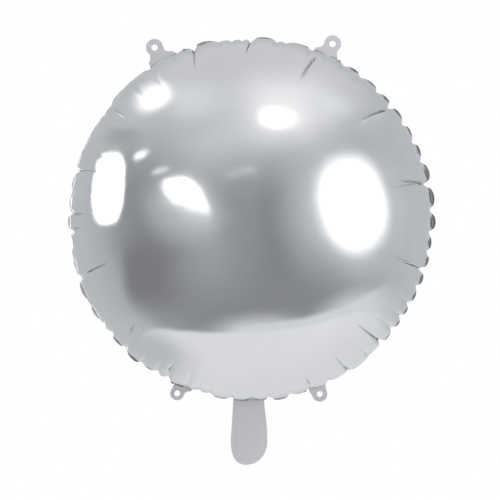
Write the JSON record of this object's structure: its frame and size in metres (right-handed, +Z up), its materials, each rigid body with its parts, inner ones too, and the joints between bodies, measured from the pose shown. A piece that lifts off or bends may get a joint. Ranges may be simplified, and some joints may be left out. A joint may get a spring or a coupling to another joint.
{
  "type": "round foil balloon",
  "caption": "Inflated round foil balloon in satin silver: two domed films welded along a scalloped rim, with hanging tabs and a rounded filling tail.",
  "frame": {"origin": "middle of the balloon, in the plane of its welded seam", "axes": "+X right and +Z up as seen from the front, +Y away from the viewer: the front film faces -Y and the filling tail points down"},
  "size_m": [0.367, 0.215, 0.4295],
  "materials": {
    "foil": "satin silver metallised film, soft reflections",
    "valve_film": "clear thin plastic film"
  },
  "bodies": {
    "balloon": {"front_foil": "foil", "back_foil": "foil", "heat_sealed_rim": "foil"},
    "upper_left_tab": {"upper_left_tab": "foil"},
    "upper_right_tab": {"upper_right_tab": "foil"},
    "lower_left_tab": {"lower_left_tab": "foil"},
    "lower_right_tab": {"lower_right_tab": "foil"},
    "filling_tail": {"filling_tail_front_film": "foil", "filling_tail_back_film": "foil", "filling_valve_film": "valve_film"}
  },
  "joints": [
    {"name": "upper_left_tab_fold", "type": "hinge", "parent": "balloon", "child": "upper_left_tab", "pos_m": [-0.0869, 0, 0.16275], "axis": [0.8821, 0, 0.471], "range_deg": [-90, 90], "stiffness_Nm_per_rad": 0.0005},
    {"name": "upper_right_tab_fold", "type": "hinge", "parent": "balloon", "child": "upper_right_tab", "pos_m": [0.07792, 0, 0.16558], "axis": [0.9048, 0, -0.4258], "range_deg": [-90, 90], "stiffness_Nm_per_rad": 0.0005},
    {"name": "lower_left_tab_fold", "type": "hinge", "parent": "balloon", "child": "lower_left_tab", "pos_m": [-0.06942, 0, -0.16759], "axis": [-0.9239, 0, 0.3827], "range_deg": [-90, 90], "stiffness_Nm_per_rad": 0.0005},
    {"name": "lower_right_tab_fold", "type": "hinge", "parent": "balloon", "child": "lower_right_tab", "pos_m": [0.06678, 0, -0.16866], "axis": [-0.9298, 0, -0.3681], "range_deg": [-90, 90], "stiffness_Nm_per_rad": 0.0005},
    {"name": "filling_tail_fold", "type": "hinge", "parent": "balloon", "child": "filling_tail", "pos_m": [0, 0, -0.1831], "axis": [-1, 0, 0], "range_deg": [-100, 100], "stiffness_Nm_per_rad": 0.002}
  ]
}
